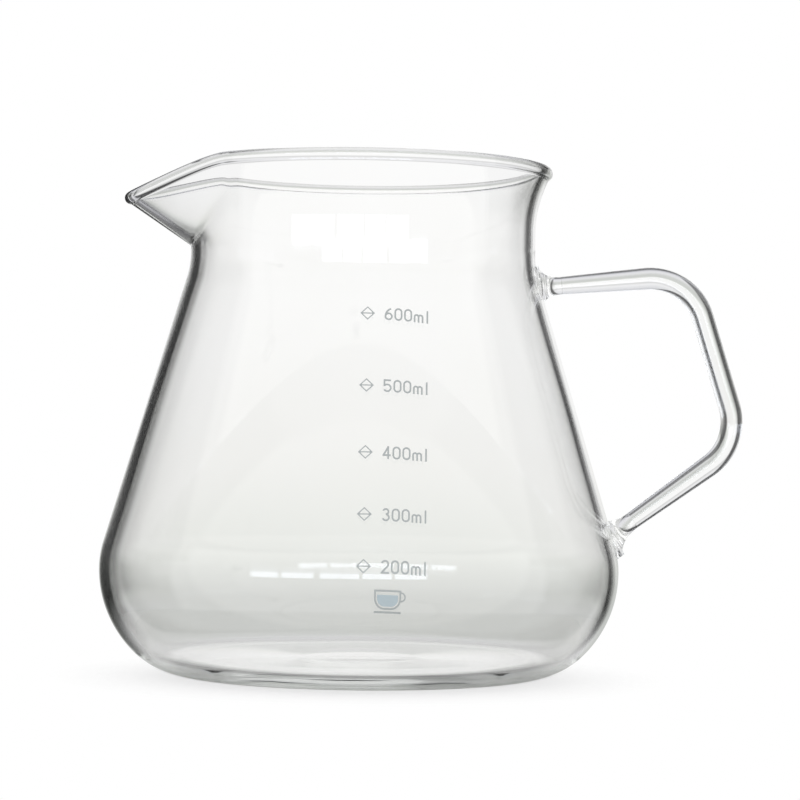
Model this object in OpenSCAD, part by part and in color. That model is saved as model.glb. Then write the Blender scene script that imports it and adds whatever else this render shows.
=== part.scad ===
// Coffee server carafe in blown borosilicate glass, holding about 600 ml to its top mark.
// The origin is the centre of the flat foot, +Z is up, the spout points to -X,
// the handle stands on +X and the printed scale faces -Y. All lengths are in millimetres.

/* [Vessel] */
// Outside diameter at the belly
body_d = 117.8; // [112:0.2:124]
// Outside diameter at the neck, the narrowest place
neck_d = 78.4; // [72:0.2:82]
// Height from the foot to the narrowest place of the neck
neck_height = 96; // [91:0.5:99]
// Height from the foot to the top of the rim
rim_height = 115.8; // [112:0.2:120]
// Outside diameter over the rim bead
rim_d = 86; // [84:0.2:90]

/* [Rounding] */
// Radius of the turn from the flat foot into the lower wall
heel_r = 19; // [16:0.5:23]
// Radius of the lower wall up to the widest place
bowl_r = 26; // [21:0.5:28]
// Radius of the turn from the widest place into the cone
shoulder_r = 21.5; // [15:0.5:28]
// Radius of the hollow turn from the cone into the neck
neck_turn_r = 22; // [16:0.5:34]

/* [Glass] */
// Wall thickness at the neck and lip
wall = 2.2; // [1.7:0.1:2.5]
// Wall thickness at the belly
belly_wall = 2; // [1.4:0.1:2.2]
// Thickness of the floor near its edge
floor_t = 3; // [2.4:0.1:3.6]
// How far the inside of the floor rises at its centre
floor_rise = 0.8; // [0.4:0.1:1.2]
// Radius of the raised middle of the floor
floor_rise_r = 15; // [11:0.5:22]
// Diameter of the melted bead along the rim
bead_d = 2.8; // [2.6:0.1:3.2]

/* [Spout] */
// Distance from the carafe's axis to the tip of the spout
spout_reach = 54.5; // [50:0.1:56]
// How far the lip drops at the tip
lip_drop = 6.5; // [4:0.1:7.5]
// Distance from the neck's narrowest place up to where the spout begins
spout_gap = 1; // [1:0.1:4]
// Height over which the spout bends out of the neck into its straight underside
spout_turn = 2.5; // [2:0.1:4]
// Share of the lip's height that stands upright below the flare
upright_share = 0.22; // [0:0.01:0.4]
// Half angle over which the tip is rounded, in degrees
tip_round = 5; // [3:0.5:8]

/* [Handle] */
// Diameter of the glass rod at the grip and the bends
rod_d = 5; // [4.4:0.1:5.6]
// Diameter of the two arms where they reach their welds
arm_end_d = 4; // [3.6:0.1:4.4]
// Distance from the carafe's axis to the outside of the handle
handle_reach = 87.1; // [80:0.1:92]
// Distance from the neck's narrowest place down to the top arm
top_arm_drop = 7.2; // [6:0.1:16]
// Rise of the top arm, in degrees
top_arm_rise = 5.4; // [0:0.1:8]
// Lean of the grip from upright, in degrees
grip_lean = 17.3; // [10:0.1:22]
// Height at which the low arm meets the wall
low_arm_height = 32.3; // [26:0.1:40]
// Rise of the low arm away from the wall, in degrees
low_arm_rise = 36.2; // [30:0.1:42]
// Radius of the top bend, on the rod's centre line
top_bend_r = 12.3; // [7:0.1:14]
// Radius of the low bend, on the rod's centre line
low_bend_r = 12.5; // [8:0.1:16]
// How much thinner the bends are than the grip, on the diameter
bend_thinning = 0.06; // [0.04:0.01:0.2]

/* [Welds] */
// Diameter of the top weld where it spreads on the wall
top_weld_d = 10; // [8:0.2:12]
// Diameter of the low weld where it spreads on the wall
low_weld_d = 10.4; // [8:0.2:12]
// Length of the top weld along its arm
top_weld_len = 5; // [3:0.2:7]
// Length of the low weld along its arm
low_weld_len = 6; // [4:0.2:8]

/* [Printed scale] */
// Thickness of the fired enamel
ink_t = 0.08; // [0.05:0.01:0.12]
// Angle of the scale round from the front towards the handle, in degrees
scale_turn = 1.2; // [0:0.1:20]
// Angle by which the transfer is turned on the glass, in degrees
scale_skew = 0.6; // [0:0.1:5]
// Width of a tick lozenge
tick_w = 3.1; // [2.4:0.1:3.6]
// Height of a tick lozenge
tick_h = 3; // [2.2:0.1:3.2]
// Width of a lozenge's lines
tick_line_w = 0.22; // [0.2:0.02:0.34]
// Height of a figure
figure_h = 2.8; // [2.2:0.1:3.2]
// Width of a figure
figure_w = 1.72; // [1.4:0.02:1.8]
// Width of the figures' strokes
line_w = 0.36; // [0.24:0.02:0.42]
// Distance from the ticks' centre line to the first figure
figure_gap = 3.6; // [2.6:0.1:4]
// Width of the cup symbol's bowl
cup_w = 5.6; // [4.6:0.1:6]
// Height of the cup symbol's bowl
cup_h = 3.8; // [3:0.1:4.2]

/* [Hidden] */
TICKS = ["600", "500", "400", "300", "200"];
$fn = 96;

glass_color = [0.86, 0.9, 0.9, 0.45];
rod_color = [0.78, 0.84, 0.86, 0.7];
ink_color = [0.68, 0.7, 0.7];
fill_color = [0.69, 0.75, 0.78];

// Places along the cone, counted from its lower end, at which the ticks stand
tick_height_shares = [0.844, 0.586, 0.35, 0.134, -0.044];
// Place of the cup symbol on the same count
cup_height_share = -0.149;

// Arc from angle a to angle b round a centre, both ends kept
function arc(c, r, a, b, n) = [
    for (i = [0 : n])
        let (t = a + (b - a) * i / n)
        [c[0] + r * cos(t), c[1] + r * sin(t)]
];

// Side wall. A side is [belly radius, heel radius, bowl radius, shoulder radius,
// neck radius, neck turn radius, foot height], for the outside or the inside of the glass.
outer_side = [body_d / 2, heel_r, bowl_r, shoulder_r, neck_d / 2, neck_turn_r, 0];
heel_end_angle = -45;
// The inside heel is tighter than the outside one, so that the lower wall is equally thick all round
inner_side = [
    body_d / 2 - belly_wall,
    heel_r - (floor_t + belly_wall * sin(heel_end_angle)) / (1 - cos(heel_end_angle)),
    bowl_r - belly_wall,
    shoulder_r - belly_wall,
    neck_d / 2 - wall,
    neck_turn_r + wall,
    floor_t
];
function heel_end(s) = [
    s[0] - s[2] * (1 - cos(heel_end_angle)),
    s[6] + s[1] * (1 - cos(heel_end_angle))
];
function foot_edge(s) = heel_end(s)[0] + s[1] * sin(heel_end_angle);
function belly_height(s) = heel_end(s)[1] - s[2] * sin(heel_end_angle);
function shoulder_centre(s) = [s[0] - s[3], belly_height(s)];
function neck_centre(s) = [s[4] + s[5], neck_height];
// Lean of the straight cone, which touches the shoulder arc and the neck arc
function cone_angle(s) =
    let (d = neck_centre(s) - shoulder_centre(s))
    atan2(d[1], d[0]) - acos((s[3] + s[5]) / norm(d));
// Wall line from the widest place to the neck, moved outwards by a coat
function wall_line(s, coat) = concat(
    arc(shoulder_centre(s), s[3] + coat, 0, cone_angle(s), 4),
    arc(neck_centre(s), s[5] - coat, 180 + cone_angle(s), 180, 5)
);
function bowl_line(s, coat) = arc([s[0] - s[2], belly_height(s)], s[2] + coat, heel_end_angle, 0, 8);
function lower_line(s) = concat(
    arc([foot_edge(s), s[6] + s[1]], s[1], -90, heel_end_angle, 6),
    bowl_line(s, 0)
);
function cone_low(s) = shoulder_centre(s) + s[3] * [cos(cone_angle(s)), sin(cone_angle(s))];
function cone_high(s) = neck_centre(s) - s[5] * [cos(cone_angle(s)), sin(cone_angle(s))];
// Outside radius at a height between the heel and the neck
function arc_offset(r, rise) = sqrt(r * r - rise * rise);
function wall_radius(z) =
    z < belly_height(outer_side) ? body_d / 2 - bowl_r + arc_offset(bowl_r, belly_height(outer_side) - z)
    : z < cone_low(outer_side)[1]
        ? body_d / 2 - shoulder_r + arc_offset(shoulder_r, z - belly_height(outer_side))
    : z < cone_high(outer_side)[1]
        ? cone_low(outer_side)[0] - (z - cone_low(outer_side)[1]) * tan(cone_angle(outer_side))
    : neck_d / 2 + neck_turn_r - arc_offset(neck_turn_r, neck_height - z);

// The revolved wall ends inside the straight stretch of the neck, and the lip is seated in it
ring_top = neck_height + spout_gap * 0.6;
lip_seat = neck_height + spout_gap * 0.2;
lip_start = neck_height + spout_gap * 0.8;
seat_gap = wall / 8;

outer_line = concat([[0, 0]], lower_line(outer_side), wall_line(outer_side, 0), [[neck_d / 2, ring_top]]);
rise_ball_r = (floor_rise_r * floor_rise_r + floor_rise * floor_rise) / (2 * floor_rise);
rise_half_angle = asin(floor_rise_r / rise_ball_r);
inner_line = concat(
    arc([0, floor_t + floor_rise - rise_ball_r], rise_ball_r, 90, 90 - rise_half_angle, 4),
    lower_line(inner_side),
    wall_line(inner_side, 0),
    [[neck_d / 2 - wall, ring_top]]
);
function reversed(list) = [for (i = [len(list) - 1 : -1 : 0]) list[i]];

// Middle surface of the lip. The spout leaves the neck first, and the flare is an arc above it.
bead_r = bead_d / 2;
lip_height = rim_height - bead_r;
neck_mid_r = (neck_d - wall) / 2;
lip_mid_r = rim_d / 2 - bead_r;
spout_start = neck_height + spout_gap;
lip_rise = lip_height - spout_start;
flare_start = spout_start + lip_rise * upright_share;
flare_rise = lip_height - flare_start;
flare_out = lip_mid_r - neck_mid_r;
flare_r = (flare_rise * flare_rise + flare_out * flare_out) / (2 * flare_out);
function flare_radius(z) =
    neck_mid_r + (z < flare_start ? 0 : flare_r - sqrt(flare_r * flare_r - pow(z - flare_start, 2)));
// Distance of the spout's underside from the neck on the spout's centre line: a turn, then straight
function spout_out(z) =
    let (s = max(0, z - spout_start))
    (s < spout_turn ? s * s / (2 * spout_turn) : s - spout_turn / 2)
    * (spout_reach - bead_r - neck_mid_r) / (lip_rise - spout_turn / 2);
// The same, counted from the flare
function fold_out(z) = max(0, spout_out(z) + neck_mid_r - flare_radius(z));
function rounded_angle(a) = sqrt(a * a + tip_round * tip_round);
// Angle at which the flat side of the spout touches the round neck
function touch_angle(z) = acos(flare_radius(z) / (flare_radius(z) + fold_out(z))) + tip_round;
function lip_radius(a, z) = flare_radius(z) / cos(max(0, touch_angle(z) - rounded_angle(a)));
function drop_share(a) =
    let (full = touch_angle(lip_height))
    pow(max(0, full - rounded_angle(a)) / (full - tip_round), 1.45);
function climb_share(z) = max(0, z - spout_start) / lip_rise;
// Point of the middle surface at an angle from the spout and an undropped height
function lip_point(a, z) = [
    -lip_radius(a, z) * cos(a),
    -lip_radius(a, z) * sin(a),
    z - lip_drop * drop_share(a) * climb_share(z)
];
angle_step = 0.5;
height_step = wall / 10;
function unit(v) = v / norm(v);
function lip_upward(a, z) = unit(lip_point(a, z) - lip_point(a, z - height_step));
function lip_along(a, z) = unit(lip_point(a + angle_step, z) - lip_point(a - angle_step, z));
function lip_outward(a, z) = unit(cross(lip_along(a, z), lip_upward(a, z)));

columns = 72;
lip_rows = 9;
bead_steps = 8;
// Angle of a column from the spout, from -180 up, with the columns closer together at the spout
crowding_angle = 20;
function column_angle(i) =
    let (turn = 360 * i / columns - 180)
    turn - crowding_angle * sin(turn);
bead_start_angle = -acos(wall / bead_d);
lip_end = lip_height - bead_r;
function row_height(j) = lip_start + (lip_end - lip_start) * j / (lip_rows - 1);
function sheet_point(a, z, side) = lip_point(a, z) + side * lip_outward(a, z);
function bead_point(a, t) =
    lip_point(a, lip_height)
    + bead_r * cos(t) * lip_outward(a, lip_height)
    + bead_r * sin(t) * lip_upward(a, lip_height);
function lip_column(a) = concat(
    [sheet_point(a, lip_seat, wall / 2 - seat_gap)],
    [for (j = [0 : lip_rows - 1]) sheet_point(a, row_height(j), wall / 2)],
    [for (k = [0 : bead_steps])
        bead_point(a, bead_start_angle + (180 - 2 * bead_start_angle) * k / bead_steps)],
    [for (j = [lip_rows - 1 : -1 : 0]) sheet_point(a, row_height(j), -wall / 2)],
    [sheet_point(a, lip_seat, seat_gap - wall / 2)]
);
column_len = 2 * lip_rows + bead_steps + 3;
lip_points = [for (i = [0 : columns - 1]) each lip_column(column_angle(i))];
// Two triangles for each cell of the closed band
function cell(i, k) =
    let (
        a = i * column_len + k,
        b = i * column_len + (k + 1) % column_len,
        c = ((i + 1) % columns) * column_len + (k + 1) % column_len,
        d = ((i + 1) % columns) * column_len + k
    )
    [[a, b, c], [a, c, d]];
lip_faces = [for (i = [0 : columns - 1]) for (k = [0 : column_len - 1]) each cell(i, k)];

// Handle route in the XZ plane: two straight arms, two bends and the grip between them
rod_r = rod_d / 2;
arm_end_r = arm_end_d / 2;
// Angle by which a bend runs on into each straight run, in degrees
bend_lap = 2;
function heading(a) = [cos(a), sin(a)];
top_arm_height = neck_height - top_arm_drop;
top_foot = [wall_radius(top_arm_height), top_arm_height];
low_foot = [wall_radius(low_arm_height), low_arm_height];
low_centre_x = handle_reach - rod_r - low_bend_r;
low_arm_len = (low_centre_x - low_foot[0] + low_bend_r * sin(low_arm_rise)) / cos(low_arm_rise);
low_centre = low_foot + low_arm_len * heading(low_arm_rise) + low_bend_r * heading(low_arm_rise + 90);
grip_foot = low_centre + low_bend_r * heading(grip_lean);
grip_side = low_centre + (low_bend_r - top_bend_r) * heading(grip_lean);
arm_normal = heading(top_arm_rise + 90);
grip_up = heading(grip_lean + 90);
grip_len = (-top_bend_r - (grip_side - top_foot) * arm_normal) / (grip_up * arm_normal);
top_centre = grip_side + grip_len * grip_up;
top_arm_len = (top_centre - top_foot) * heading(top_arm_rise);

// Straight piece of rod from a distance to another along a line in the XZ plane,
// with its radius at each end
module rod_run(start, angle, from, to, from_r, to_r) {
    at = start + from * heading(angle);
    translate([at[0], 0, at[1]])
        rotate([0, 90 - angle, 0])
            cylinder(h = to - from, r1 = from_r, r2 = to_r);
}

// Bend between two angles round a centre in the XZ plane. Its thinner ends sit in the straight runs.
module rod_bend(centre, bend_r, a, b) {
    translate([centre[0], 0, centre[1]])
        rotate([90, 0, 0])
            rotate([0, 0, a - bend_lap])
                rotate_extrude(angle = b - a + 2 * bend_lap)
                    translate([bend_r, 0])
                        circle(r = rod_r - bend_thinning / 2);
}

// Flare of melted glass round an arm, before the wall is taken from it
module weld_blank(foot, angle, weld_r, weld_len) {
    flare = weld_r - arm_end_r;
    translate([foot[0], 0, foot[1]])
        rotate([0, 90 - angle, 0])
            rotate_extrude()
                polygon(concat(
                    [[0, -weld_r], [weld_r, -weld_r]],
                    [for (t = [0 : 15 : 90])
                        [weld_r - flare * sin(t), weld_len * (1 - cos(t))]],
                    [[0, weld_len]]
                ));
}

module outer_solid() {
    rotate_extrude()
        polygon(concat(outer_line, [[0, ring_top]]));
}

module body() {
    color(glass_color)
        union() {
            rotate_extrude()
                polygon(concat(outer_line, reversed(inner_line)));
            polyhedron(points = lip_points, faces = lip_faces);
        }
}

module handle() {
    color(rod_color)
        union() {
            rod_run(top_foot, top_arm_rise, top_weld_len, top_arm_len, arm_end_r, rod_r);
            rod_bend(top_centre, top_bend_r, grip_lean, top_arm_rise + 90);
            rod_run(grip_foot, grip_lean + 90, 0, grip_len, rod_r, rod_r);
            rod_bend(low_centre, low_bend_r, low_arm_rise - 90, grip_lean);
            rod_run(low_foot, low_arm_rise, low_weld_len, low_arm_len, arm_end_r, rod_r);
        }
}

module top_weld() {
    color(glass_color)
        difference() {
            weld_blank(top_foot, top_arm_rise, top_weld_d / 2, top_weld_len);
            outer_solid();
        }
}

module low_weld() {
    color(glass_color)
        difference() {
            weld_blank(low_foot, low_arm_rise, low_weld_d / 2, low_weld_len);
            outer_solid();
        }
}

// Thin coat over the outside of the wall, from the heel to the neck
function coated_line(coat) = concat(bowl_line(outer_side, coat), wall_line(outer_side, coat));
module coat() {
    rotate_extrude()
        polygon(concat(coated_line(0), reversed(coated_line(ink_t))));
}

// Flat artwork carried onto the wall. Its origin is the point of the cone at a share of its height,
// its X runs round the glass and its Y up the slope.
module print_on_wall(share, ink = ink_color) {
    centre = (cone_low(outer_side) + cone_high(outer_side)) / 2;
    slope = (share - 0.5) * norm(cone_high(outer_side) - cone_low(outer_side));
    reach = shoulder_r / 3;
    color(ink)
        intersection() {
            coat();
            rotate([0, 0, scale_turn])
                translate([0, -centre[0], centre[1]])
                    rotate([90 - cone_angle(outer_side), 0, 0])
                        rotate([0, 0, -scale_skew])
                            translate([0, slope, -reach])
                                linear_extrude(height = 2 * reach)
                                    children();
        }
}

// Straight stroke of the pen between two points, with square ends
module stroke(p, q) {
    d = q - p;
    translate(p)
        rotate(atan2(d[1], d[0]))
            translate([0, -line_w / 2])
                square([norm(d), line_w]);
}

// Curved stroke of the pen round a centre
module bow(c, r, a, b) {
    polygon(concat(arc(c, r + line_w / 2, a, b, 10), arc(c, r - line_w / 2, b, a, 10)));
}

module loop(c, r) {
    translate(c)
        difference() {
            circle(r = r + line_w / 2);
            circle(r = r - line_w / 2);
        }
}

// Figures have their lower left corner at the origin, and the pen's line stays inside their box
low_y = line_w / 2;
high_y = figure_h - line_w / 2;
left_x = line_w / 2;
right_x = figure_w - line_w / 2;
mid_x = figure_w / 2;
bow_r = (figure_w - line_w) / 2;
figure_step = figure_w + line_w;

module figure_0() {
    bow([mid_x, high_y - bow_r], bow_r, 0, 180);
    bow([mid_x, low_y + bow_r], bow_r, 180, 360);
    stroke([left_x, low_y + bow_r], [left_x, high_y - bow_r]);
    stroke([right_x, low_y + bow_r], [right_x, high_y - bow_r]);
}

module figure_2() {
    turn = -35;
    top = [mid_x, high_y - bow_r];
    bow(top, bow_r, turn, 165);
    stroke(top + bow_r * heading(turn), [left_x, low_y]);
    stroke([0, low_y], [figure_w, low_y]);
}

module figure_3() {
    top_r = (high_y - low_y) * 0.23;
    low_r = (high_y - low_y) / 2 - top_r;
    bow([mid_x, high_y - top_r], top_r, -90, 160);
    bow([mid_x, low_y + low_r], low_r, -160, 90);
}

module figure_4() {
    bar_y = figure_h * 0.3;
    post_x = right_x - line_w;
    stroke([post_x, 0], [post_x, figure_h]);
    stroke([0, bar_y], [figure_w, bar_y]);
    stroke([left_x, bar_y], [post_x, high_y]);
}

module figure_5() {
    bowl = bow_r * 1.12;
    stroke([left_x, high_y], [right_x, high_y]);
    stroke([left_x, low_y + bowl * 1.5], [left_x, figure_h]);
    bow([right_x - bowl, low_y + bowl], bowl, -150, 145);
}

module figure_6() {
    sweep_r = (high_y - low_y - bow_r) * 1.05;
    loop([mid_x, low_y + bow_r], bow_r);
    bow([left_x + sweep_r, low_y + bow_r], sweep_r, 112, 180);
}

module letters_ml() {
    small_h = figure_h * 0.66;
    hump_r = (figure_w * 1.2 - line_w) / 4;
    for (i = [0 : 2])
        stroke([left_x + 2 * hump_r * i, 0], [left_x + 2 * hump_r * i, small_h - hump_r - line_w / 4]);
    for (i = [0 : 1])
        bow([left_x + hump_r * (2 * i + 1), small_h - hump_r - line_w / 2], hump_r, 0, 180);
    l_x = left_x + 4 * hump_r + figure_w * 0.6;
    stroke([l_x, 0], [l_x, figure_h]);
}

module figure(c) {
    if (c == "0") figure_0();
    if (c == "2") figure_2();
    if (c == "3") figure_3();
    if (c == "4") figure_4();
    if (c == "5") figure_5();
    if (c == "6") figure_6();
}

// Lozenge outline with a line through it and filled corners at both ends
module lozenge(inset) {
    w = tick_w / 2 - inset;
    h = tick_h / 2 - inset;
    polygon([[-w, 0], [0, -h], [w, 0], [0, h]]);
}

module tick(i) {
    inset = tick_line_w * sqrt(2);
    clear = tick_w * 0.3;
    print_on_wall(tick_height_shares[i]) {
        difference() {
            lozenge(0);
            intersection() {
                lozenge(inset);
                translate([-clear, -tick_h / 2])
                    square([2 * clear, tick_h]);
            }
        }
        translate([-tick_w / 2 + inset, -tick_line_w / 2])
            square([tick_w - 2 * inset, tick_line_w]);
    }
}

module figures(i) {
    print_on_wall(tick_height_shares[i])
        translate([figure_gap, -figure_h / 2]) {
            for (k = [0 : 2])
                translate([k * figure_step, 0])
                    figure(TICKS[i][k]);
            translate([3 * figure_step, 0])
                letters_ml();
        }
}

// Cup seen from the side, drawn in by an edge and lowered from the rim
module cup_shape(edge, rim) {
    half_w = cup_w / 2 - edge;
    top_y = cup_h / 2 - rim;
    low_edge = edge - cup_h / 2;
    corner_r = cup_h * 0.56 - edge;
    polygon(concat(
        [[half_w, top_y], [-half_w, top_y]],
        arc([corner_r - half_w, low_edge + corner_r], corner_r, 180, 270, 6),
        arc([half_w - corner_r, low_edge + corner_r], corner_r, 270, 360, 6)
    ));
}
cup_middle = figure_gap + cup_w / 2 - line_w * 3.5;

module cup_outline() {
    ear_r = cup_h * 0.25;
    ear_at = [cup_w / 2, cup_h * 0.16];
    print_on_wall(cup_height_share)
        translate([cup_middle, 0]) {
            difference() {
                cup_shape(0, 0);
                cup_shape(line_w, line_w);
            }
            difference() {
                translate(ear_at)
                    circle(r = ear_r);
                translate(ear_at)
                    circle(r = ear_r - line_w * 0.8);
                cup_shape(line_w / 2, line_w / 2);
            }
            translate([-cup_w / 2, -cup_h / 2 - line_w * 1.8])
                square([cup_w, line_w]);
        }
}

// Coffee in the cup, a patch of bluer enamel with a bare gap round it
module cup_fill() {
    print_on_wall(cup_height_share, fill_color)
        translate([cup_middle, 0])
            cup_shape(line_w * 1.7, cup_h * 0.26);
}

body();
handle();
top_weld();
low_weld();
tick(0);  // tick_600
tick(1);  // tick_500
tick(2);  // tick_400
tick(3);  // tick_300
tick(4);  // tick_200
figures(0);  // figures_600
figures(1);  // figures_500
figures(2);  // figures_400
figures(3);  // figures_300
figures(4);  // figures_200
cup_outline();
cup_fill();
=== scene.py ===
import bpy
import math
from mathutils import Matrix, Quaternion, Vector, noise


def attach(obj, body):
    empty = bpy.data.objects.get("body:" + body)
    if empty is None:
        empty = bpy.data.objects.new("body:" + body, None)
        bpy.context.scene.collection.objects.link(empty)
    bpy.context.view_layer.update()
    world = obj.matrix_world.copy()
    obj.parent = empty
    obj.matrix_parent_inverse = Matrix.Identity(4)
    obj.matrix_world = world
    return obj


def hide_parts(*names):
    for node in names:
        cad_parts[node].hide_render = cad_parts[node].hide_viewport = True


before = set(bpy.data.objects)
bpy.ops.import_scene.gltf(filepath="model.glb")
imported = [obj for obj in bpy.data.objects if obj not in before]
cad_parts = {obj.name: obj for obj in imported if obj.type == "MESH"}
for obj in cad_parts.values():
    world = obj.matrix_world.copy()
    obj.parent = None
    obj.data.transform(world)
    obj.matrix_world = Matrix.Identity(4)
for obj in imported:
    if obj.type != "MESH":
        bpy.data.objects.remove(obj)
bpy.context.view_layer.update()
mm = 0.001
white = (1, 1, 1, 1)
print("frame loaded")


# small helpers

def toLinear(hexColor):  # sRGB hex to the linear colour that shaders want
    parts = [int(hexColor[i:i + 2], 16) / 255 for i in (1, 3, 5)]
    return tuple(c / 12.92 if c <= 0.04045 else ((c + 0.055) / 1.055) ** 2.4 for c in parts) + (1.0,)


def addNode(tree, kind, inputs=None, **settings):  # inputs are values, or other nodes' sockets to link
    node = tree.nodes.new(kind)
    for name, value in settings.items():
        setattr(node, name, value)
    for name, value in (inputs or {}).items():
        if isinstance(value, bpy.types.NodeSocket):
            tree.links.new(value, node.inputs[name])
        else:
            node.inputs[name].default_value = value
    return node


def emptyTree(owner):  # of a material or a world
    owner.use_nodes = True
    owner.node_tree.nodes.clear()
    return owner.node_tree


def meshObject(name, points, faces):
    sharpFrom = 50  # degrees between two faces that meet in a visible edge
    mesh = bpy.data.meshes.new(name)
    mesh.from_pydata([Vector(p) * mm for p in points], [], faces)
    mesh.validate()
    mesh.shade_smooth()
    mesh.set_sharp_from_angle(angle=math.radians(sharpFrom))
    obj = bpy.data.objects.new(name, mesh)
    bpy.context.scene.collection.objects.link(obj)
    return obj


def arcPoints(centre, r, start, end, steps):  # both ends kept, angles in degrees
    angles = [math.radians(start + (end - start) * i / steps) for i in range(steps + 1)]
    return [(centre[0] + r * math.cos(a), centre[1] + r * math.sin(a)) for a in angles]


# camera, at the height and distance that the rim's ellipse and the foot give

cameraPlan = {
    "distance": 614,  # mm from the carafe's axis
    "height": 53.5,
    "focalPixels": 2693,  # focal length in pixels of an 800 pixel frame
    "axisX": 361.3,  # pixel column of the carafe's axis
    "horizonY": 440.2,  # pixel row of the camera's own height
    "roll": 0.73,  # degrees, the photo leans a little
}


def placeCamera(plan):
    middle = 400  # pixels from the frame's corner to its middle, both ways
    scale = plan["distance"] / plan["focalPixels"]
    aimX = (middle - plan["axisX"]) * scale
    aimZ = plan["height"] + (plan["horizonY"] - middle) * scale
    spot = Vector((0, -plan["distance"], plan["height"])) * mm
    aim = Vector((aimX, 0, aimZ)) * mm
    data = bpy.data.cameras.new("photoCamera")
    data.sensor_width = 36
    data.lens = plan["focalPixels"] / (2 * middle) * data.sensor_width
    data.clip_start = 0.01
    camera = bpy.data.objects.new("photoCamera", data)
    camera.location = spot
    turned = (aim - spot).to_track_quat("-Z", "Y") @ Quaternion((0, 0, 1), math.radians(plan["roll"]))
    camera.rotation_euler = turned.to_euler()
    bpy.context.scene.collection.objects.link(camera)
    bpy.context.scene.camera = camera


placeCamera(cameraPlan)
print("camera placed")


# vessel: one blown skin, from the foot up the outside, over the lip bead and down the inside

vessel = {  # mm
    "bellyD": 117.8,
    "neckD": 78.4,  # at its narrowest place
    "neckHeight": 96,  # of that place
    "rimHeight": 115.8,
    "rimD": 86,
    "heelR": 19,  # turn from the foot into the lower wall
    "heelEnd": 45,  # degrees that it turns
    "bowlR": 26,  # lower wall, from there up to the widest place
    "shoulderR": 21.5,  # turn from the widest place into the cone
    "neckTurnR": 22,  # hollow turn from the cone into the neck
    "wall": 2.2,  # glass at the neck and the lip
    "bellyWall": 2,
    "floorT": 3,
    "floorRise": 0.8,  # how far the floor's middle stands up inside
    "floorRiseR": 15,
    "beadD": 2.8,  # melted bead along the rim
    "spoutReach": 54.5,  # from the axis to the spout's tip
    "lipDrop": 6.5,  # how far the lip comes down at the tip
    "dropCurve": 1.45,  # 1 is a straight way down, more keeps the drop close to the tip
    "spoutGap": 1,  # from the neck's narrowest place up to where the spout begins
    "spoutTurn": 2.5,  # height over which the spout turns out of the neck
    "uprightShare": 0.22,  # part of the lip's height that stands upright below the flare
    "tipRound": 5,  # degrees
    "lipStart": 0.5,  # where the lip's own rows begin, above the neck's narrowest place
    "wave": 0.05,  # how far the inside wanders, as hand-blown glass does
    "waveLength": 24,
    "columns": 288,  # upright rows of points round the vessel
    "crowding": 20,  # degrees that the columns move towards the spout, where the shape is finer
    "steps": {
        "heel": 18, "bowl": 20, "shoulder": 10, "cone": 24, "neck": 14, "lip": 22, "bead": 16, "floor": 8,
    },
}


def wallSide(v, inside):  # radii of belly, heel, bowl, shoulder, neck and neck turn, then the foot's height
    if not inside:
        return (v["bellyD"] / 2, v["heelR"], v["bowlR"], v["shoulderR"], v["neckD"] / 2, v["neckTurnR"], 0)
    turn = math.radians(v["heelEnd"])
    # the inside heel is tighter, so that the lower wall is equally thick all round
    heel = v["heelR"] - (v["floorT"] - v["bellyWall"] * math.sin(turn)) / (1 - math.cos(turn))
    return (
        v["bellyD"] / 2 - v["bellyWall"], heel, v["bowlR"] - v["bellyWall"],
        v["shoulderR"] - v["bellyWall"], v["neckD"] / 2 - v["wall"], v["neckTurnR"] + v["wall"], v["floorT"],
    )


def sideFacts(v, side):  # foot's edge, height of the widest place, centres of the cone's two turns, its lean
    belly, heel, bowl, shoulder, neck, neckTurn, foot = side
    turn = math.radians(v["heelEnd"])
    footEdge = belly - bowl * (1 - math.cos(turn)) - heel * math.sin(turn)
    bellyHeight = foot + heel * (1 - math.cos(turn)) + bowl * math.sin(turn)
    low = (belly - shoulder, bellyHeight)
    high = (neck + neckTurn, v["neckHeight"])
    dx, dz = high[0] - low[0], high[1] - low[1]
    lean = math.atan2(dz, dx) - math.acos((shoulder + neckTurn) / math.hypot(dx, dz))
    return footEdge, bellyHeight, low, high, math.degrees(lean)


def sideLine(v, inside):  # from the foot's edge to the neck's narrowest place
    side = wallSide(v, inside)
    belly, heel, bowl, shoulder, neck, neckTurn, foot = side
    footEdge, bellyHeight, low, high, lean = sideFacts(v, side)
    steps, turn = v["steps"], v["heelEnd"]
    line = arcPoints((footEdge, foot + heel), heel, -90, turn - 90, steps["heel"])
    line += arcPoints((belly - bowl, bellyHeight), bowl, turn - 90, 0, steps["bowl"])[1:]
    line += arcPoints(low, shoulder, 0, lean, steps["shoulder"])[1:]
    neckLine = arcPoints(high, neckTurn, 180 + lean, 180, steps["neck"])
    start, end = line[-1], neckLine[0]
    for i in range(1, steps["cone"]):
        t = i / steps["cone"]
        line.append((start[0] + (end[0] - start[0]) * t, start[1] + (end[1] - start[1]) * t))
    return line + neckLine


outerSide = sideLine(vessel, False)


def wallRadius(z):  # outside of the vessel between the heel and the neck
    for (r0, z0), (r1, z1) in zip(outerSide, outerSide[1:]):
        if z0 <= z <= z1:
            return r0 + (r1 - r0) * (z - z0) / (z1 - z0)
    return outerSide[-1][0]


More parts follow.
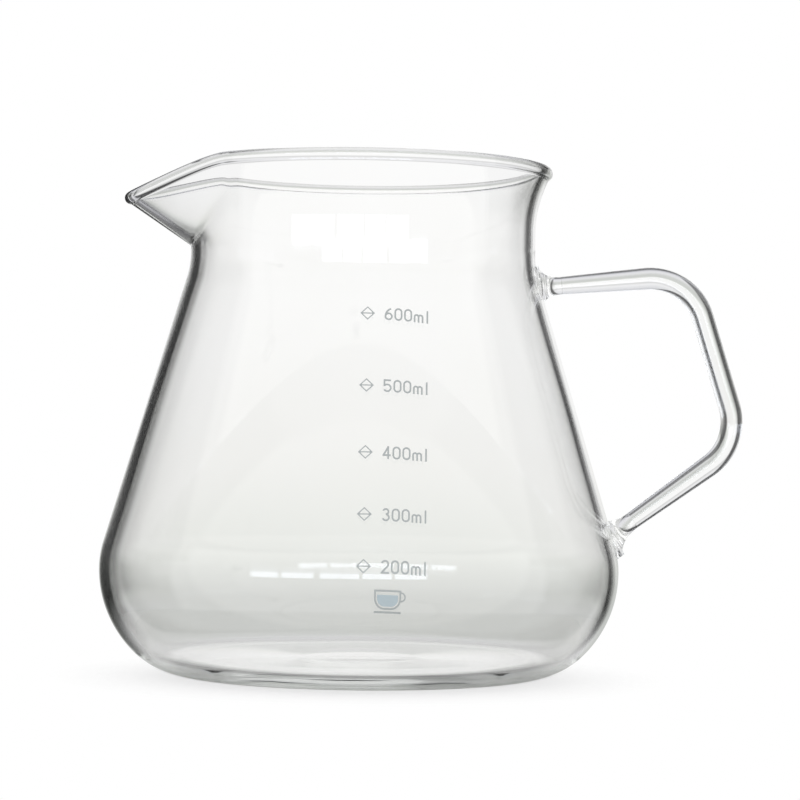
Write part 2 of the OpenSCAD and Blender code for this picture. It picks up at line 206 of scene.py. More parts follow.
def lipSurface(v):  # middle of the glass of the flared lip and its pulled spout, by angle and height
    beadR = v["beadD"] / 2
    top = v["rimHeight"] - beadR
    neckMid = (v["neckD"] - v["wall"]) / 2
    start = v["neckHeight"] + v["spoutGap"]
    rise = top - start
    flareStart = start + rise * v["uprightShare"]
    flareRise = top - flareStart
    out = v["rimD"] / 2 - beadR - neckMid
    flareR = (flareRise * flareRise + out * out) / (2 * out)
    tipOut = (v["spoutReach"] - beadR - neckMid) / (rise - v["spoutTurn"] / 2)
    tipRound = v["tipRound"]
    nudgeUp, nudgeRound = 0.2, 0.5  # mm and degrees between the points that give the surface's directions

    def flare(z):  # radius of the lip away from the spout
        if z < flareStart:
            return neckMid
        return neckMid + flareR - math.sqrt(flareR * flareR - (z - flareStart) ** 2)

    def touch(z):  # degrees from the spout at which its flat side meets the round lip
        s = max(0, z - start)
        straight = s * s / (2 * v["spoutTurn"]) if s < v["spoutTurn"] else s - v["spoutTurn"] / 2
        fold = max(0, tipOut * straight + neckMid - flare(z))
        return math.degrees(math.acos(flare(z) / (flare(z) + fold))) + tipRound

    def point(a, z):
        rounded = math.hypot(a, tipRound)
        r = flare(z) / math.cos(math.radians(max(0, touch(z) - rounded)))
        full = touch(top)
        drop = v["lipDrop"] * (max(0, full - rounded) / (full - tipRound)) ** v["dropCurve"]
        drop *= max(0, z - start) / rise
        return Vector((-r * math.cos(math.radians(a)), -r * math.sin(math.radians(a)), z - drop))

    def upward(a, z):
        return (point(a, z) - point(a, z - nudgeUp)).normalized()

    def outward(a, z):
        return (point(a + nudgeRound, z) - point(a - nudgeRound, z)).cross(upward(a, z)).normalized()

    return point, upward, outward, top, beadR


def lipColumn(v, a, surface):  # outside of the lip, bead, inside of the lip
    point, upward, outward, top, beadR = surface
    lipSteps, beadSteps = v["steps"]["lip"], v["steps"]["bead"]
    first = v["neckHeight"] + v["lipStart"]
    rows = [first + (top - beadR - first) * i / lipSteps for i in range(lipSteps + 1)]
    half = v["wall"] / 2
    outside = [point(a, z) + half * outward(a, z) for z in rows]
    inside = [point(a, z) - half * outward(a, z) for z in reversed(rows)]
    begin = -math.degrees(math.acos(v["wall"] / v["beadD"]))
    bead = []
    for i in range(beadSteps + 1):
        t = math.radians(begin + (180 - 2 * begin) * i / beadSteps)
        bead.append(point(a, top) + beadR * (math.cos(t) * outward(a, top) + math.sin(t) * upward(a, top)))
    return outside + bead + inside


def vesselColumn(v, a, surface, outer, inner):  # up the outside, over the lip and down the inside
    c, s = -math.cos(math.radians(a)), -math.sin(math.radians(a))
    column = [Vector((r * c, r * s, z)) for r, z in outer] + lipColumn(v, a, surface)
    for r, z in inner:
        p = Vector((r * c, r * s, z))
        sway = noise.noise(p / v["waveLength"]) * v["wave"]
        column.append(p + Vector((c, s, 0)) * sway)
    return column


def makeVessel(v):
    surface = lipSurface(v)
    floorTop = v["floorT"] + v["floorRise"]
    ballR = (v["floorRiseR"] ** 2 + v["floorRise"] ** 2) / (2 * v["floorRise"])
    ballAngle = math.degrees(math.asin(v["floorRiseR"] / ballR))
    floor = arcPoints((0, floorTop - ballR), ballR, 90 - ballAngle, 90, v["steps"]["floor"])[:-1]
    footRings = [(outerSide[0][0] * share, 0) for share in (1 / 3, 2 / 3)]
    outer = footRings + outerSide
    inner = list(reversed(sideLine(v, True))) + floor
    count = v["columns"]
    points = []
    for i in range(count):
        turn = 360 * i / count - 180
        a = turn - v["crowding"] * math.sin(math.radians(turn))
        points += vesselColumn(v, a, surface, outer, inner)
    width = len(points) // count
    footPole, floorPole = len(points), len(points) + 1
    points += [Vector((0, 0, 0)), Vector((0, 0, floorTop))]
    faces = []
    for i in range(count):
        here, there = i * width, ((i + 1) % count) * width
        for k in range(width - 1):
            faces.append((here + k, there + k, there + k + 1, here + k + 1))
    for i in range(count):
        here, there = i * width, ((i + 1) % count) * width
        faces.append((footPole, there, here))
        faces.append((floorPole, here + width - 1, there + width - 1))
    return meshObject("vesselGlass", points, faces)


# handle: bent rod with a flare of melted glass at each end

handle = {  # mm, and degrees for the three that lean or rise
    "rodD": 5,
    "armEndD": 4,  # of the two arms where they reach their welds
    "reach": 87.1,  # from the carafe's axis to the outside of the grip
    "topHeight": 88.8,  # where the top arm meets the wall
    "topRise": 5.4,
    "gripLean": 17.3,
    "lowHeight": 32.3,  # where the low arm meets the wall
    "lowRise": 36.2,
    "topBendR": 12.3,
    "lowBendR": 12.5,
    "topWeldD": 10,  # of the melted glass where it spreads on the wall
    "lowWeldD": 10.4,
    "topWeldLen": 5,
    "lowWeldLen": 6,
    "seam": 0.02,  # gap that keeps fused pieces apart
    "bendSteps": 24,
    "rodSides": 48,
    "weldSides": 96,
    "weldRows": 28,  # from the rod's end to the wall
    "weldRings": 8,  # on the face towards the wall
}


def heading(a):
    return Vector((math.cos(math.radians(a)), 0, math.sin(math.radians(a))))


def handleRoute(h):  # where the arms meet the wall, and the rod's middle line from weld to weld
    rodR, steps = h["rodD"] / 2, h["bendSteps"]
    topFoot = Vector((wallRadius(h["topHeight"]), 0, h["topHeight"]))
    lowFoot = Vector((wallRadius(h["lowHeight"]), 0, h["lowHeight"]))
    lowX = h["reach"] - rodR - h["lowBendR"]
    lowLen = lowX - lowFoot.x + h["lowBendR"] * math.sin(math.radians(h["lowRise"]))
    lowLen /= math.cos(math.radians(h["lowRise"]))
    lowCentre = lowFoot + lowLen * heading(h["lowRise"]) + h["lowBendR"] * heading(h["lowRise"] + 90)
    gripSide = lowCentre + (h["lowBendR"] - h["topBendR"]) * heading(h["gripLean"])
    normal, up = heading(h["topRise"] + 90), heading(h["gripLean"] + 90)
    gripLen = (-h["topBendR"] - (gripSide - topFoot).dot(normal)) / up.dot(normal)
    topCentre = gripSide + gripLen * up
    bends = (
        (topCentre, h["topBendR"], h["topRise"] + 90, h["gripLean"]),
        (lowCentre, h["lowBendR"], h["gripLean"], h["lowRise"] - 90),
    )
    route = [topFoot + (h["topWeldLen"] + h["seam"]) * heading(h["topRise"])]
    for centre, bendR, start, end in bends:
        for i in range(steps + 1):
            route.append(centre + bendR * heading(start + (end - start) * i / steps))
    route.append(lowFoot + (h["lowWeldLen"] + h["seam"]) * heading(h["lowRise"]))
    return topFoot, lowFoot, route


def makeRod(h, route):
    sides, last = h["rodSides"], len(route) - 1
    points, faces = [], []
    across = Vector((0, 1, 0))
    for i, p in enumerate(route):
        before, after = route[max(i - 1, 0)], route[min(i + 1, last)]
        along = (after - before).normalized()
        out = along.cross(across)
        r = h["armEndD"] / 2 if i in (0, last) else h["rodD"] / 2
        for k in range(sides):
            t = 2 * math.pi * k / sides
            points.append(p + r * (math.cos(t) * out + math.sin(t) * across))
    for i in range(last):
        for k in range(sides):
            n = (k + 1) % sides
            faces.append((i * sides + k, (i + 1) * sides + k, (i + 1) * sides + n, i * sides + n))
    faces.append(tuple(range(sides)))
    faces.append(tuple(last * sides + k for k in reversed(range(sides))))
    return meshObject("rodHandle", points, faces)


def makeWeld(name, foot, angle, weldD, length, h):
    rodR, weldR = h["armEndD"] / 2, weldD / 2
    along, side, across = heading(angle), heading(angle + 90), Vector((0, 1, 0))
    sides, rows, rings = h["weldSides"], h["weldRows"], h["weldRings"]
    halvings = 30  # to find the place where a line meets the wall
    settlings = 4  # to move a point along the arm onto the wall

    def spot(t, turn):  # t is 0 at the rod's end, 1 where the flare is widest, and more inside the wall
        if t <= 1:
            a = math.radians(90 * (1 - t))
            r, s = weldR - (weldR - rodR) * math.sin(a), length * (1 - math.cos(a))
        else:
            r, s = weldR, -(t - 1) * weldR
        return foot + s * along + r * (math.cos(turn) * side + math.sin(turn) * across)

    def proud(p):  # how far a point stands off the wall and the seam
        return math.hypot(p.x, p.y) - wallRadius(p.z) - h["seam"]

    def settled(p):
        for step in range(settlings):
            p = p - along * proud(p) / along.x
        return p

    points, faces = [], []
    for k in range(sides):
        turn = 2 * math.pi * k / sides
        low, high = 0.0, 2.0
        for step in range(halvings):
            middle = (low + high) / 2
            low, high = (middle, high) if proud(spot(middle, turn)) > 0 else (low, middle)
        points += [spot(low * i / rows, turn) for i in range(rows + 1)]
        edge = points[-1]
        points += [settled(foot + (edge - foot) * (1 - i / rings)) for i in range(1, rings)]
    width = rows + rings
    capPole, basePole = len(points), len(points) + 1
    points += [foot + length * along, settled(foot.copy())]
    for k in range(sides):
        here, there = k * width, ((k + 1) % sides) * width
        for i in range(width - 1):
            faces.append((here + i, there + i, there + i + 1, here + i + 1))
    for k in range(sides):
        here, there = k * width, ((k + 1) % sides) * width
        faces.append((capPole, there, here))
        faces.append((basePole, here + width - 1, there + width - 1))
    return meshObject(name, points, faces)


vesselGlass = makeVessel(vessel)
topFoot, lowFoot, rodRoute = handleRoute(handle)
rodHandle = makeRod(handle, rodRoute)
topWeld = makeWeld(
    "topWeldGlass", topFoot, handle["topRise"], handle["topWeldD"], handle["topWeldLen"], handle)
lowWeld = makeWeld(
    "lowWeldGlass", lowFoot, handle["lowRise"], handle["lowWeldD"], handle["lowWeldLen"], handle)
print("glass shaped")


# finishes

blownFinish = {
    "tint": "#ffffff",
    "streak": "#fcfcfb",
    "roughness": 0.004,
    "ior": 1.47,  # borosilicate
    "specular": 0.5,
    "absorb": "#e4e8e5",  # what is left of white light on its way through, greenest where the glass is thick
    "density": 7,
    "rippleMm": 30,  # from one soft swell of the surface to the next
    "rippleHeight": 0.01,
    "rippleStrength": 0.3,
}
drawnFinish = dict(blownFinish, density=20, rippleMm=18, specular=0.2)  # a thick rod, greyer and less even


def borosilicateGlass(name, f):  # fire-polished, clear where it faces the eye, dark lines along its edges
    material = bpy.data.materials.new(name)
    tree = emptyTree(material)
    place = addNode(tree, "ShaderNodeTexCoord")
    ripple = addNode(tree, "ShaderNodeTexNoise", {
        "Vector": place.outputs["Object"], "Scale": 1 / (f["rippleMm"] * mm), "Detail": 1.0,
    })
    tint = addNode(tree, "ShaderNodeMix", {
        "Factor": ripple.outputs["Fac"], "A": toLinear(f["tint"]), "B": toLinear(f["streak"]),
    }, data_type="RGBA")
    bump = addNode(tree, "ShaderNodeBump", {
        "Height": ripple.outputs["Fac"], "Strength": f["rippleStrength"], "Distance": f["rippleHeight"] * mm,
    })
    glass = addNode(tree, "ShaderNodeBsdfPrincipled", {
        "Base Color": tint.outputs[2], "Roughness": f["roughness"], "IOR": f["ior"],
        "Specular IOR Level": f["specular"], "Transmission Weight": 1.0, "Normal": bump.outputs["Normal"],
    })
    absorb = addNode(tree, "ShaderNodeVolumeAbsorption", {
        "Color": toLinear(f["absorb"]), "Density": f["density"],
    })
    addNode(tree, "ShaderNodeOutputMaterial", {"Surface": glass.outputs[0], "Volume": absorb.outputs[0]})
    return material


enamelFinish = {
    "greyLight": "#b4b9b9",
    "greyDark": "#9fa5a6",
    "blueLight": "#b9c6cc",
    "blueDark": "#a9b8bf",
    "grainMm": 0.25,
    "grainHeight": 0.02,
    "grainStrength": 0.4,
    "roughness": 0.42,
}


def firedEnamel(name, light, dark, f):  # screen-printed and fired: matt with fine pits of thinner ink
    material = bpy.data.materials.new(name)
    tree = emptyTree(material)
    place = addNode(tree, "ShaderNodeTexCoord")
    grain = addNode(tree, "ShaderNodeTexNoise", {
        "Vector": place.outputs["Object"], "Scale": 1 / (f["grainMm"] * mm), "Detail": 2.0,
    })
    color = addNode(tree, "ShaderNodeMix", {
        "Factor": grain.outputs["Fac"], "A": toLinear(f[light]), "B": toLinear(f[dark]),
    }, data_type="RGBA")
    bump = addNode(tree, "ShaderNodeBump", {
        "Height": grain.outputs["Fac"], "Strength": f["grainStrength"], "Distance": f["grainHeight"] * mm,
    })
    ink = addNode(tree, "ShaderNodeBsdfPrincipled", {
        "Base Color": color.outputs[2], "Roughness": f["roughness"], "Normal": bump.outputs["Normal"],
    })
    addNode(tree, "ShaderNodeOutputMaterial", {"Surface": ink.outputs[0]})
    return material


clearGlass = borosilicateGlass("borosilicateBlownGlass", blownFinish)
rodGlass = borosilicateGlass("borosilicateDrawnRod", drawnFinish)
greyEnamel = firedEnamel("firedGreyEnamel", "greyLight", "greyDark", enamelFinish)
blueEnamel = firedEnamel("firedBlueEnamel", "blueLight", "blueDark", enamelFinish)
print("finishes made")


# each piece of glass stands for its solid, and the printed solids stay and get their enamel

for piece, node, slotName, material in (
    (vesselGlass, "body", "clear_glass", clearGlass),
    (rodHandle, "handle", "rod_glass", rodGlass),
    (topWeld, "top_weld", "clear_glass", clearGlass),
    (lowWeld, "low_weld", "clear_glass", clearGlass),
):
    piece.data.materials.append(material)
    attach(piece, "root")
    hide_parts(node)

for name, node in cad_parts.items():
    if name.startswith(("tick_", "figures_", "cup_")):
        node.data.materials.clear()
        node.data.materials.append(blueEnamel if name == "cup_fill" else greyEnamel)
print("pieces set on the frame")


# table: a pale painted disc that fades into the white surroundings; where glass shows it, it carries painted
# light and a painted contact shadow round the foot

tablePlan = {  # places in metres from the carafe's axis
    "radius": 0.085,
    "gap": 0.0002,  # below the foot
    "color": "#f0f0ed",
    "grainColor": "#f4f4f2",
    "grainsPerMetre": 300,
    "shadowShare": 0.32,  # how much of the carafe's shadow is left on it
    "whiteFrom": 0.042,  # it fades to white between these
    "whiteTo": 0.07,
    "clearFrom": 0.044,  # and seen through glass, at a glance, to the surroundings between these
    "clearTo": 0.056,
    "glanceFrom": 0.6,  # 0 looks straight down on it, 1 along it
    "glanceTo": 0.75,
    "clearShare": 0.92,  # share of its look through glass that the painted levels below give, 1 being white
    "footR": 0.039,
    "footBlur": 0.001,
    "paintedLightBeneath": 1.08,  # painted light beneath the foot
    "paintedGlowLevel": 1.1,  # painted glow close round the foot, standing for the light that its glass gathers
    "paintedGlowFrom": 0.003,  # beyond the foot's edge
    "paintedGlowTo": 0.007,
    "behindLevel": 0.62,  # further behind it
    "paintedContactShadowLevel": 0.3,  # painted contact shadow in front of the foot, which draws the dark line along it
    "beforeFrom": -0.012,  # on the Y axis, between which the painted contact shadow comes in
    "beforeTo": -0.024,
    "mirroredLevel": 0.86,  # the same place, seen in the far wall's inside
    "directDepth": 3.5,  # rays that have met fewer surfaces than this see it directly
}


def paintedLightAndShadeThroughGlass(tree, t, place, path, distance):  # painted light and shade on the table where glass shows it, by place
    depthwise = addNode(tree, "ShaderNodeSeparateXYZ", {"Vector": place}).outputs[1]
    # painted glow close round the foot, passing into the level further behind
    behind = addNode(tree, "ShaderNodeMapRange", {
        "Value": distance, "From Min": t["footR"] + t["paintedGlowFrom"], "From Max": t["footR"] + t["paintedGlowTo"],
        "To Min": t["paintedGlowLevel"], "To Max": t["behindLevel"],
    })
    direct = addNode(tree, "ShaderNodeMath", {
        0: path["Ray Depth"], 1: t["directDepth"],
    }, operation="LESS_THAN")
    # painted contact shadow in front of the foot, paler where the far wall's inside mirrors it
    contact = addNode(tree, "ShaderNodeMix", {
        "Factor": direct.outputs[0], "A": t["mirroredLevel"], "B": t["paintedContactShadowLevel"],
    })
    around = addNode(tree, "ShaderNodeMapRange", {
        "Value": depthwise, "From Min": t["beforeFrom"], "From Max": t["beforeTo"],
        "To Min": behind.outputs[0], "To Max": contact.outputs[0],
    })
    outside = addNode(tree, "ShaderNodeMapRange", {
        "Value": distance, "From Min": t["footR"] - t["footBlur"], "From Max": t["footR"] + t["footBlur"],
    })
    level = addNode(tree, "ShaderNodeMix", {
        "Factor": outside.outputs[0], "A": t["paintedLightBeneath"], "B": around.outputs[0],
    })
    return level.outputs[0]


def clearThroughGlass(tree, t, path, distance):  # 1 where glass shows the surroundings and not the table
    edge = addNode(tree, "ShaderNodeMapRange", {
        "Value": distance, "From Min": t["clearFrom"], "From Max": t["clearTo"],
    })
    facing = addNode(tree, "ShaderNodeLayerWeight", {"Blend": 0.5}).outputs["Facing"]
    glancing = addNode(tree, "ShaderNodeMapRange", {
        "Value": facing, "From Min": t["glanceFrom"], "From Max": t["glanceTo"],
    })
    inGlass = addNode(tree, "ShaderNodeMath", {
        0: path["Is Glossy Ray"], 1: path["Is Transmission Ray"],
    }, operation="MAXIMUM")
    outer = addNode(tree, "ShaderNodeMath", {
        0: edge.outputs[0], 1: glancing.outputs[0],
    }, operation="MULTIPLY")
    clear = addNode(tree, "ShaderNodeMath", {
        0: outer.outputs[0], 1: inGlass.outputs[0],
    }, operation="MULTIPLY")
    return clear.outputs[0]


def makeTable(t):
    bpy.ops.mesh.primitive_circle_add(vertices=128, radius=t["radius"], fill_type="NGON")
    table = bpy.context.object
    table.name = "table"
    table.location.z = -t["gap"]
    material = bpy.data.materials.new("paintedTableTop")
    tree = emptyTree(material)
    place = addNode(tree, "ShaderNodeTexCoord").outputs["Object"]
    distance = addNode(tree, "ShaderNodeVectorMath", {"Vector": place}, operation="LENGTH").outputs["Value"]
    path = addNode(tree, "ShaderNodeLightPath").outputs
    grain = addNode(tree, "ShaderNodeTexNoise", {"Vector": place, "Scale": t["grainsPerMetre"]})
    paint = addNode(tree, "ShaderNodeMix", {
        "Factor": grain.outputs["Fac"], "A": toLinear(t["color"]), "B": toLinear(t["grainColor"]),
    }, data_type="RGBA")
    pale = addNode(tree, "ShaderNodeMix", {
        "Factor": path["Is Camera Ray"], "A": paint.outputs[2], "B": white,
    }, data_type="RGBA")
    matt = addNode(tree, "ShaderNodeBsdfDiffuse", {"Color": pale.outputs[2]})
    # rays through glass get the painted light and shade, all other rays plain white
    level = addNode(tree, "ShaderNodeMix", {
        "Factor": path["Is Transmission Ray"], "A": 1.0,
        "B": paintedLightAndShadeThroughGlass(tree, t, place, path, distance),
    })
    plain = addNode(tree, "ShaderNodeEmission", {"Color": white, "Strength": level.outputs[0]})
    far = addNode(tree, "ShaderNodeMapRange", {
        "Value": distance, "From Min": t["whiteFrom"], "From Max": t["whiteTo"],
    })
    faded = addNode(tree, "ShaderNodeMapRange", {"Value": far.outputs[0], "To Min": 1 - t["shadowShare"]})
    seen = addNode(tree, "ShaderNodeMath", {
        0: faded.outputs[0], 1: path["Is Camera Ray"],
    }, operation="MULTIPLY")
    bent = addNode(tree, "ShaderNodeMath", {
        0: path["Is Transmission Ray"], 1: t["clearShare"],
    }, operation="MULTIPLY")
    share = addNode(tree, "ShaderNodeMath", {0: seen.outputs[0], 1: bent.outputs[0]}, operation="MAXIMUM")
    top = addNode(tree, "ShaderNodeMixShader", {
        0: share.outputs[0], 1: matt.outputs[0], 2: plain.outputs[0],
    })
    gap = addNode(tree, "ShaderNodeBsdfTransparent")
    surface = addNode(tree, "ShaderNodeMixShader", {
        0: clearThroughGlass(tree, t, path, distance), 1: top.outputs[0], 2: gap.outputs[0],
    })
    addNode(tree, "ShaderNodeOutputMaterial", {"Surface": surface.outputs[0]})
    table.data.materials.append(material)


# surroundings: white, with dark cards left and right, behind the carafe and in front of it alike, that
# only the glass shows, as the dark lines along its edges. Angles are in degrees. Turns go round from
# straight behind or in front towards the handle, and rises go up from level. A card is 1 for white and 0
# for black.

surroundings = {
    "plainLevel": 1.0,  # of the light on all that isn't glass
    "backLevel": 0.97,  # of all that the glass shows
    "frontLevel": 1.25,  # of the camera's side, where the glass mirrors it
    "lowCards": [  # by turn, below the horizon
        (-90, 0.9), (-80, 0.9), (-75, 0.6), (-60, 0.4), (-48, 0.22), (-38, 0.12), (-30, 0.04),
        (-18.5, 0.03), (-17, 0.07), (-15, 0.3), (-13, 0.58), (-10, 0.82), (-6, 0.97), (0, 1.0), (7, 0.97),
        (14, 0.92), (20, 0.88), (22.5, 0.7), (24.5, 0.22), (26, 0.06), (31, 0.06), (35, 0.12), (40, 0.2),
        (45, 0.35), (51, 0.45), (62, 0.55), (75, 0.65), (80, 0.9), (90, 0.9),
    ],
    "highCards": [  # by turn, above it
        (-90, 0.95), (-79, 0.95), (-60, 0.85), (-51, 0.82), (-46, 0.6), (-42, 0.33), (-38, 0.1), (-34, 0.03),
        (-28, 0.03), (-18.5, 0.04), (-17, 0.12), (-15.5, 0.42), (-14, 0.8), (-11.5, 0.95), (0, 1.0),
        (13, 0.98), (21, 0.93), (23, 0.72), (24.5, 0.2), (26, 0.05), (31, 0.05), (34, 0.15), (38, 0.3),
        (43, 0.6), (48, 0.82), (60, 0.86), (79, 0.95), (90, 0.95),
    ],
    "highFrom": 0,  # rises between which the low cards pass into the high ones
    "highTo": 7,
    "cardRises": [(-90, 0), (-13, 0), (-9, 1), (60, 1), (90, 0.4)],  # how much of the cards there is
    "sideLevel": 0.9,
    "sidesFrom": 76,  # turns between which the cards give way to the sides
    "sidesTo": 80,
    "farCards": [  # by turn either way, for what is seen straight through both walls
        (0, 1.0), (38, 0.4), (42, 0.7), (46, 0.9), (55, 0.9), (59, 0.5), (63, 0.08), (71, 0.08), (75, 0.5),
        (79, 0.92), (90, 0.92),
    ],
    "farFrom": 38,  # turns between which they begin
    "farTo": 41,
    "farRises": [(-90, 0), (-70, 0.2), (-55, 0.8), (-13, 0.8), (-9, 1), (90, 1)],
    "heelCardTurns": [  # low cards that darken the heel
        (-90, 0), (-50, 0), (-42, 1), (-13, 1), (-9, 0), (20, 0), (24, 1), (36, 1), (44, 0), (90, 0),
    ],
    "heelCardRises": [(-90, 0), (-36, 0), (-28, 1), (-10, 1), (-7, 0), (90, 0)],
    "heelCardShare": 0.8,
    "dropTurns": [(-90, 0), (-46, 0), (-34, 1), (34, 1), (46, 0), (90, 0)],
    "dropRises": [  # dark far below and grey above, straight behind, for rim, rod and heel alone
        (-90, 0.95), (-60, 0.93), (-45, 0.86), (-38, 0.6), (-30, 0.1), (-26, 0), (12.5, 0), (15, 0.3),
        (19, 0.2), (23, 0), (90, 0),
    ],
    "heights": [  # colour by rise
        (-90, "#3c3e3c"), (-50, "#50524f"), (-42, "#9a9ca2"), (-36, "#d8d8df"), (-20, "#e6e6e9"),
        (-11, "#d0d2cf"), (-4.4, "#cdcfcc"), (-3.4, "#dcdedb"), (-1.7, "#eceeea"), (-0.2, "#f7f7f5"),
        (4, "#ffffff"), (14, "#ffffff"), (24, "#f4f4f6"), (40, "#e4e5e9"), (60, "#d6d8dd"), (90, "#babcc4"),
    ],
    "farHeights": [  # the same straight through both walls, below the two rises that follow
        (-90, "#ededeb"), (-30, "#ededed"), (-20, "#e6e6e9"), (-11, "#d0d2cf"), (90, "#d0d2cf"),
    ],
    "farHeightsFrom": -11,
    "farHeightsTo": -13,
    "mirroredFrom": 1.5,  # surfaces that mirrored a ray, with one counted for the surroundings themselves
    "oneWallDepth": 3.5,  # surfaces that a ray has met by its way out of the first wall, counted likewise
    "deepFrom": 6.5,  # light that met more surfaces than this, counted likewise, finds paler cards
    "deepShare": 0.6,
    "deepLevel": 0.8,
    "paneTurns": [  # window in front: turn right round from the front, 1 for glass, 0 for frame
        (-180, 0), (-48, 1), (-36, 0), (-35, 1), (-21, 0), (-17, 1), (0, 0), (1, 1), (14, 0), (15, 1),
        (29, 0), (180, 0),
    ],
    "paneRises": [(-90, 0), (1, 1), (7, 0.3), (9, 0.1), (13, 0), (90, 0)],
    "windowColor": "#eaf1ff",
    "windowLevel": 3.6,
}


def directionRamp(tree, angle, lowest, stops, blend="LINEAR"):  # shade or colour along an angle in degrees
    highest = stops[-1][0]
    place = addNode(tree, "ShaderNodeMapRange", {"Value": angle, "From Min": lowest, "From Max": highest})
    ramp = addNode(tree, "ShaderNodeValToRGB", {"Fac": place.outputs[0]})
    ramp.color_ramp.interpolation = blend
    points = ramp.color_ramp.elements
    for i, (degree, shade) in enumerate(stops):
        position = (degree - lowest) / (highest - lowest)
        if i == 0:
            point = points[0]
        elif i == len(stops) - 1:
            point = points[len(points) - 1]
        else:
            point = points.new(position)
        point.position = position
        point.color = toLinear(shade) if isinstance(shade, str) else (shade, shade, shade, 1)
    return ramp.outputs[0]


def lookAngles(tree):  # turn, turn right round from the front, rise, and whether the ray goes forward
    direction = addNode(tree, "ShaderNodeTexCoord").outputs["Generated"]
    x, y, z = addNode(tree, "ShaderNodeSeparateXYZ", {"Vector": direction}).outputs
    eitherWay = addNode(tree, "ShaderNodeMath", {0: y}, operation="ABSOLUTE")
    forward = addNode(tree, "ShaderNodeMath", {0: y, 1: -1.0}, operation="MULTIPLY")
    radians = (
        addNode(tree, "ShaderNodeMath", {0: x, 1: eitherWay.outputs[0]}, operation="ARCTAN2"),
        addNode(tree, "ShaderNodeMath", {0: x, 1: forward.outputs[0]}, operation="ARCTAN2"),
        addNode(tree, "ShaderNodeMath", {0: z}, operation="ARCSINE"),
    )
    turn, frontTurn, rise = (
        addNode(tree, "ShaderNodeMath", {0: angle.outputs[0]}, operation="DEGREES").outputs[0]
        for angle in radians
    )
    ahead = addNode(tree, "ShaderNodeMath", {0: y, 1: 0.0}, operation="LESS_THAN")
    return turn, frontTurn, rise, ahead.outputs[0]


def glassPath(tree, s, path):  # whether the glass mirrored the ray, or let it straight through both walls
    mirrorings = addNode(tree, "ShaderNodeMath", {
        0: path["Ray Depth"], 1: path["Transmission Depth"],
    }, operation="SUBTRACT")
    mirrored = addNode(tree, "ShaderNodeMath", {
        0: mirrorings.outputs[0], 1: s["mirroredFrom"],
    }, operation="GREATER_THAN")
    straight = addNode(tree, "ShaderNodeMath", {0: 1.0, 1: mirrored.outputs[0]}, operation="SUBTRACT")
    further = addNode(tree, "ShaderNodeMath", {
        0: path["Ray Depth"], 1: s["oneWallDepth"],
    }, operation="GREATER_THAN")
    bothWalls = addNode(tree, "ShaderNodeMath", {
        0: straight.outputs[0], 1: further.outputs[0],
    }, operation="MULTIPLY")
    return mirrored.outputs[0], bothWalls.outputs[0]


def cardShade(tree, s, turn, rise, bothWalls):
    eitherSide = addNode(tree, "ShaderNodeMath", {0: turn}, operation="ABSOLUTE").outputs[0]
    high = addNode(tree, "ShaderNodeMapRange", {
        "Value": rise, "From Min": s["highFrom"], "From Max": s["highTo"],
    })
    behind = addNode(tree, "ShaderNodeMix", {
        "Factor": high.outputs[0], "A": directionRamp(tree, turn, -90, s["lowCards"]),
        "B": directionRamp(tree, turn, -90, s["highCards"]),
    })
    beside = addNode(tree, "ShaderNodeMapRange", {
        "Value": eitherSide, "From Min": s["sidesFrom"], "From Max": s["sidesTo"],
    })
    around = addNode(tree, "ShaderNodeMix", {
        "Factor": beside.outputs[0], "A": behind.outputs[0], "B": s["sideLevel"],
    })
    farther = addNode(tree, "ShaderNodeMapRange", {
        "Value": eitherSide, "From Min": s["farFrom"], "From Max": s["farTo"],
    })
    farShare = addNode(tree, "ShaderNodeMath", {0: farther.outputs[0], 1: bothWalls}, operation="MULTIPLY")
    cards = addNode(tree, "ShaderNodeMix", {
        "Factor": farShare.outputs[0], "A": around.outputs[0],
        "B": directionRamp(tree, eitherSide, 0, s["farCards"]),
    })
    cardShare = addNode(tree, "ShaderNodeMix", {
        "Factor": bothWalls, "A": directionRamp(tree, rise, -90, s["cardRises"]),
        "B": directionRamp(tree, rise, -90, s["farRises"]),
    })
    shade = addNode(tree, "ShaderNodeMix", {"Factor": cardShare.outputs[0], "A": 1.0, "B": cards.outputs[0]})
    return shade.outputs[0]


def lowDarkness(tree, s, turn, rise, bothWalls):  # 1 is black
    heelCard = addNode(tree, "ShaderNodeMath", {
        0: directionRamp(tree, turn, -90, s["heelCardTurns"]),
        1: directionRamp(tree, rise, -90, s["heelCardRises"]),
    }, operation="MULTIPLY")
    heelDark = addNode(tree, "ShaderNodeMath", {
        0: heelCard.outputs[0], 1: s["heelCardShare"],
    }, operation="MULTIPLY")
    drop = addNode(tree, "ShaderNodeMath", {
        0: directionRamp(tree, turn, -90, s["dropTurns"]), 1: directionRamp(tree, rise, -90, s["dropRises"]),
    }, operation="MULTIPLY")
    oneWall = addNode(tree, "ShaderNodeMath", {0: 1.0, 1: bothWalls}, operation="SUBTRACT")
    dropDark = addNode(tree, "ShaderNodeMath", {
        0: drop.outputs[0], 1: oneWall.outputs[0],
    }, operation="MULTIPLY")
    dark = addNode(tree, "ShaderNodeMath", {
        0: dropDark.outputs[0], 1: heelDark.outputs[0],
    }, operation="MAXIMUM")
    return dark.outputs[0]


def heightColor(tree, s, rise, bothWalls):
    low = addNode(tree, "ShaderNodeMapRange", {
        "Value": rise, "From Min": s["farHeightsFrom"], "From Max": s["farHeightsTo"],
    })
    farShare = addNode(tree, "ShaderNodeMath", {0: low.outputs[0], 1: bothWalls}, operation="MULTIPLY")
    color = addNode(tree, "ShaderNodeMix", {
        "Factor": farShare.outputs[0], "A": directionRamp(tree, rise, -90, s["heights"]),
        "B": directionRamp(tree, rise, -90, s["farHeights"]),
    }, data_type="RGBA")
    return color.outputs[2]


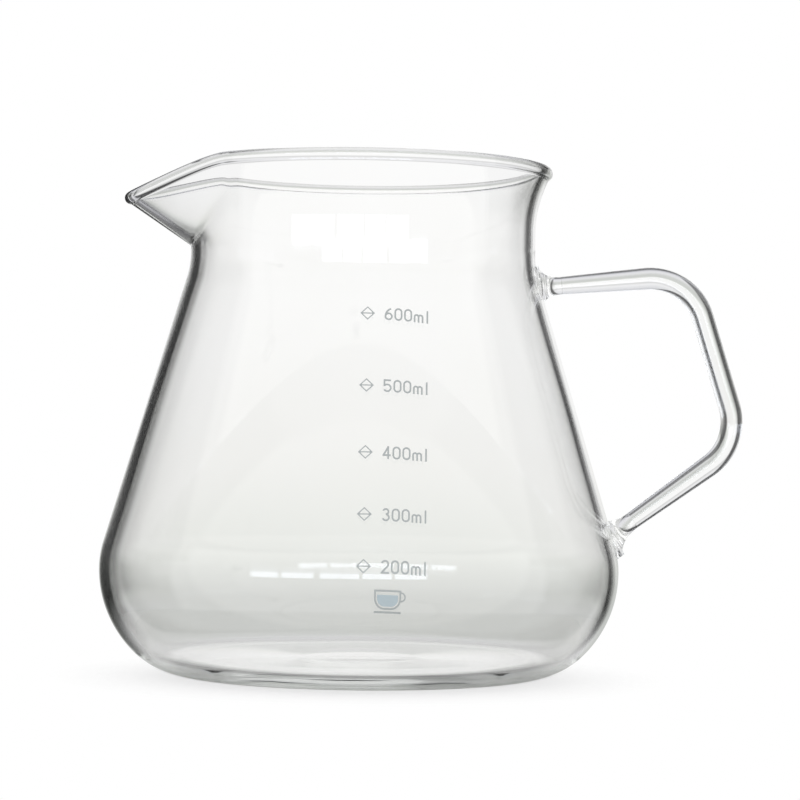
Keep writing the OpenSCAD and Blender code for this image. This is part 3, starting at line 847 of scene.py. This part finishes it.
def windowGlow(tree, s, frontTurn, rise, mirrored):  # seen only where the glass mirrors it
    pane = addNode(tree, "ShaderNodeMath", {
        0: directionRamp(tree, frontTurn, -180, s["paneTurns"], "CONSTANT"),
        1: directionRamp(tree, rise, -90, s["paneRises"], "CONSTANT"),
    }, operation="MULTIPLY")
    seen = addNode(tree, "ShaderNodeMath", {0: pane.outputs[0], 1: mirrored}, operation="MULTIPLY")
    level = addNode(tree, "ShaderNodeMath", {0: seen.outputs[0], 1: s["windowLevel"]}, operation="MULTIPLY")
    glow = addNode(tree, "ShaderNodeBackground", {
        "Color": toLinear(s["windowColor"]), "Strength": level.outputs[0],
    })
    return glow.outputs[0]


def makeWorld(s):
    world = bpy.data.worlds.new("studio")
    bpy.context.scene.world = world
    tree = emptyTree(world)
    path = addNode(tree, "ShaderNodeLightPath").outputs
    turn, frontTurn, rise, ahead = lookAngles(tree)
    mirrored, bothWalls = glassPath(tree, s, path)
    shade = addNode(tree, "ShaderNodeMix", {
        "Factor": lowDarkness(tree, s, turn, rise, bothWalls),
        "A": cardShade(tree, s, turn, rise, bothWalls), "B": 0.0,
    })
    deep = addNode(tree, "ShaderNodeMath", {
        0: path["Ray Depth"], 1: s["deepFrom"],
    }, operation="GREATER_THAN")
    deepMix = addNode(tree, "ShaderNodeMath", {0: deep.outputs[0], 1: s["deepShare"]}, operation="MULTIPLY")
    paler = addNode(tree, "ShaderNodeMix", {
        "Factor": deepMix.outputs[0], "A": shade.outputs[0], "B": s["deepLevel"],
    })
    level = addNode(tree, "ShaderNodeMath", {0: paler.outputs[0], 1: s["backLevel"]}, operation="MULTIPLY")
    mirroredFront = addNode(tree, "ShaderNodeMath", {0: ahead, 1: mirrored}, operation="MULTIPLY")
    strength = addNode(tree, "ShaderNodeMix", {
        "Factor": mirroredFront.outputs[0], "A": level.outputs[0], "B": s["frontLevel"],
    })
    color = addNode(tree, "ShaderNodeMix", {
        "Factor": mirroredFront.outputs[0], "A": heightColor(tree, s, rise, bothWalls), "B": white,
    }, data_type="RGBA")
    room = addNode(tree, "ShaderNodeBackground", {
        "Color": color.outputs[2], "Strength": strength.outputs[0],
    })
    shaped = addNode(tree, "ShaderNodeAddShader", {
        0: room.outputs[0], 1: windowGlow(tree, s, frontTurn, rise, mirrored),
    })
    plain = addNode(tree, "ShaderNodeBackground", {"Color": white, "Strength": s["plainLevel"]})
    backdrop = addNode(tree, "ShaderNodeBackground", {"Color": white, "Strength": 1.0})
    inGlass = addNode(tree, "ShaderNodeMath", {
        0: path["Is Glossy Ray"], 1: path["Is Transmission Ray"],
    }, operation="MAXIMUM")
    lit = addNode(tree, "ShaderNodeMixShader", {
        0: inGlass.outputs[0], 1: plain.outputs[0], 2: shaped.outputs[0],
    })
    seen = addNode(tree, "ShaderNodeMixShader", {
        0: path["Is Camera Ray"], 1: lit.outputs[0], 2: backdrop.outputs[0],
    })
    addNode(tree, "ShaderNodeOutputWorld", {"Surface": seen.outputs[0]})


makeTable(tablePlan)
makeWorld(surroundings)
lightTurns = 40  # light runs on inside the thick foot by mirroring
scene = bpy.context.scene
scene.view_settings.view_transform = "Standard"
scene.cycles.max_bounces = lightTurns
scene.cycles.glossy_bounces = lightTurns
scene.cycles.transmission_bounces = lightTurns
print("studio set")
